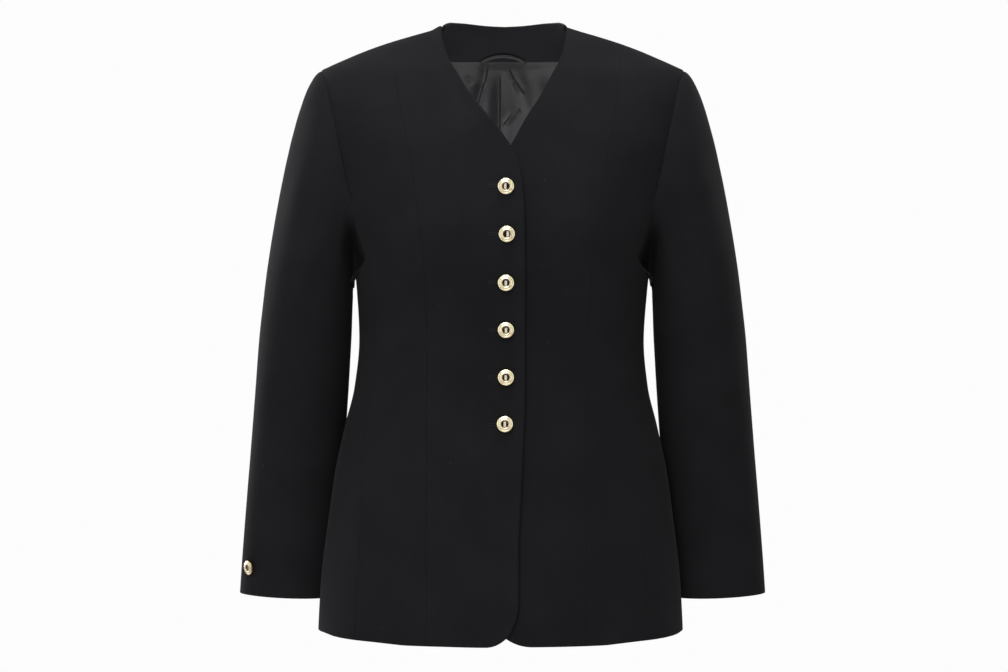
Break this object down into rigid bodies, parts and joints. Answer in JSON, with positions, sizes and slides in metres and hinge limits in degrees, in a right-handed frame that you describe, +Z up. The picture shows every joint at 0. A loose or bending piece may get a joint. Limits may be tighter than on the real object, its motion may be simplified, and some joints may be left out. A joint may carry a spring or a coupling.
{
  "type": "blazer",
  "caption": "Collarless V-neck blazer with a single-breasted buttoned front, princess seams, long two-piece sleeves, rounded front hem corners and a satin back lining, hollow as if worn.",
  "frame": {"origin": "on the centre plane at the height of the shoulder seams' neck ends, between the shoulders that carry the blazer", "axes": "+Z up, along the body; the buttoned front faces -Y; +X is the wearer's left"},
  "size_m": [0.6254, 0.2489, 0.7182],
  "materials": {
    "wool": "fine black wool, matt with a faint nap",
    "lining": "dark grey satin, softly glossy",
    "button": "pale polished gold plate with a dark glossy well"
  },
  "bodies": {
    "root": {"front_right": "wool", "side_front_right": "wool", "side_right": "wool", "back_right": "wool", "sleeve_upper_right": "wool", "sleeve_under_right": "wool", "front_left": "wool", "side_front_left": "wool", "side_left": "wool", "back_left": "wool", "sleeve_upper_left": "wool", "sleeve_under_left": "wool", "back_neck_facing": "wool", "back_lining": "lining", "hanger_loop": "lining", "button_1": "button", "button_2": "button", "button_3": "button", "button_4": "button", "button_5": "button", "button_6": "button", "cuff_button_right": "button", "cuff_button_left": "button"}
  },
  "joints": []
}
